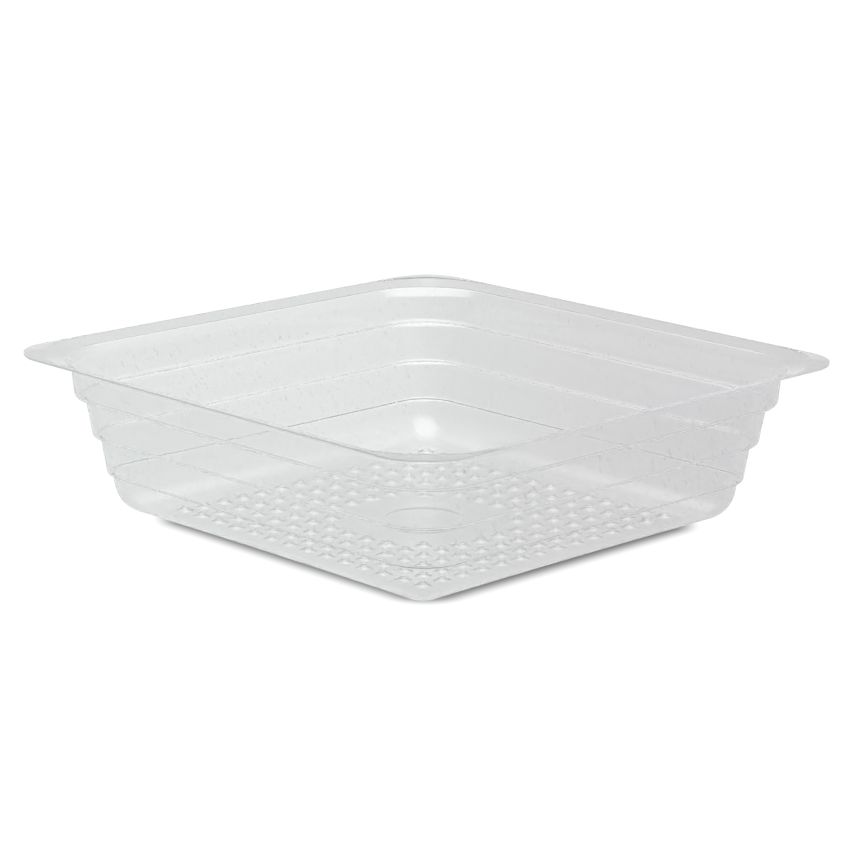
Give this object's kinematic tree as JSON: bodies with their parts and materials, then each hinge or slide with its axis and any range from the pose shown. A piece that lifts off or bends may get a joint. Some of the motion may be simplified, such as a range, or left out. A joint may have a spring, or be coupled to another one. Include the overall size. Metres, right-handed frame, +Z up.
{
  "type": "clear stepped square tray",
  "caption": "Square open tray of thin clear plastic: stepped sides, an upturned flange with wide corners, and a bumped floor round a smooth disc. Holds small pots, plugs or seedlings.",
  "frame": {"origin": "centre of the underside of the floor's smooth disc, on the surface that the tray stands on", "axes": "+Z up out of the mouth; X and Y parallel to the sides"},
  "size_m": [0.23, 0.23, 0.0663],
  "materials": {
    "clear_sheet": "clear glossy thermoformed plastic sheet, faintly grey, with fine draw marks"
  },
  "bodies": {
    "root": {"rim_flange": "clear_sheet", "tier_1_wall": "clear_sheet", "tier_2_wall": "clear_sheet", "tier_3_wall": "clear_sheet", "base_wall": "clear_sheet", "bumped_floor": "clear_sheet", "centre_disc": "clear_sheet"}
  },
  "joints": []
}
